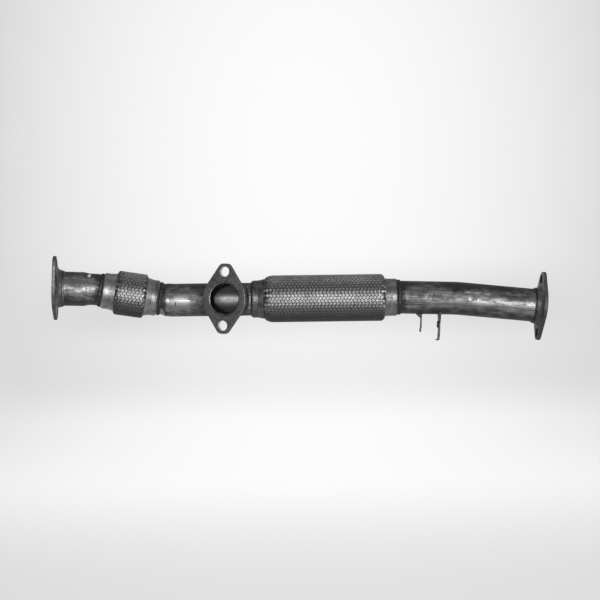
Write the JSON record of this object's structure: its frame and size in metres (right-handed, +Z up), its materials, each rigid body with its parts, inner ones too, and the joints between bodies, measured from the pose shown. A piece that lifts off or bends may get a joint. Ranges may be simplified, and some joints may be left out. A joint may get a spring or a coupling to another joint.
{
  "type": "exhaust flex pipe",
  "caption": "Exhaust pipe section with a short and a long braided flexible section, a side branch, two-eared bolted flanges at its openings and two sheet brackets.",
  "frame": {"origin": "centre of the inlet flange's mating face", "axes": "+X along the straight main pipe towards the outlet, +Z up, -Y towards the side of the branch flange; the two brackets hang towards -Z"},
  "size_m": [0.7592, 0.1008, 0.1374],
  "materials": {
    "flange": "matt blasted steel",
    "pipe": "satin drawn steel with a dull grey film",
    "ferrule": "satin rolled sheet",
    "braid": "woven stainless wire",
    "inner_steel": "plain stainless sheet",
    "weld": "dark rippled bead",
    "bracket": "matt pressed sheet"
  },
  "bodies": {
    "root": {"inlet_flange": "flange", "inlet_flange_weld": "weld", "inlet_pipe": "pipe", "inlet_pipe_weld": "weld", "small_front_ferrule": "ferrule", "small_braid": "braid", "small_bellows": "inner_steel", "small_liner": "inner_steel", "small_rear_ferrule": "ferrule", "middle_pipe_front_weld": "weld", "middle_pipe": "pipe", "branch_stub": "pipe", "branch_stub_weld": "weld", "branch_flange": "flange", "branch_flange_weld": "weld", "middle_pipe_rear_weld": "weld", "large_front_ferrule": "ferrule", "large_braid": "braid", "large_bellows": "inner_steel", "large_liner": "inner_steel", "large_rear_ferrule": "ferrule", "outlet_pipe_weld": "weld", "outlet_pipe": "pipe", "outlet_flange_weld": "weld", "outlet_flange": "flange", "short_bracket": "bracket", "short_bracket_weld": "weld", "long_bracket": "bracket", "long_bracket_weld": "weld"}
  },
  "joints": []
}
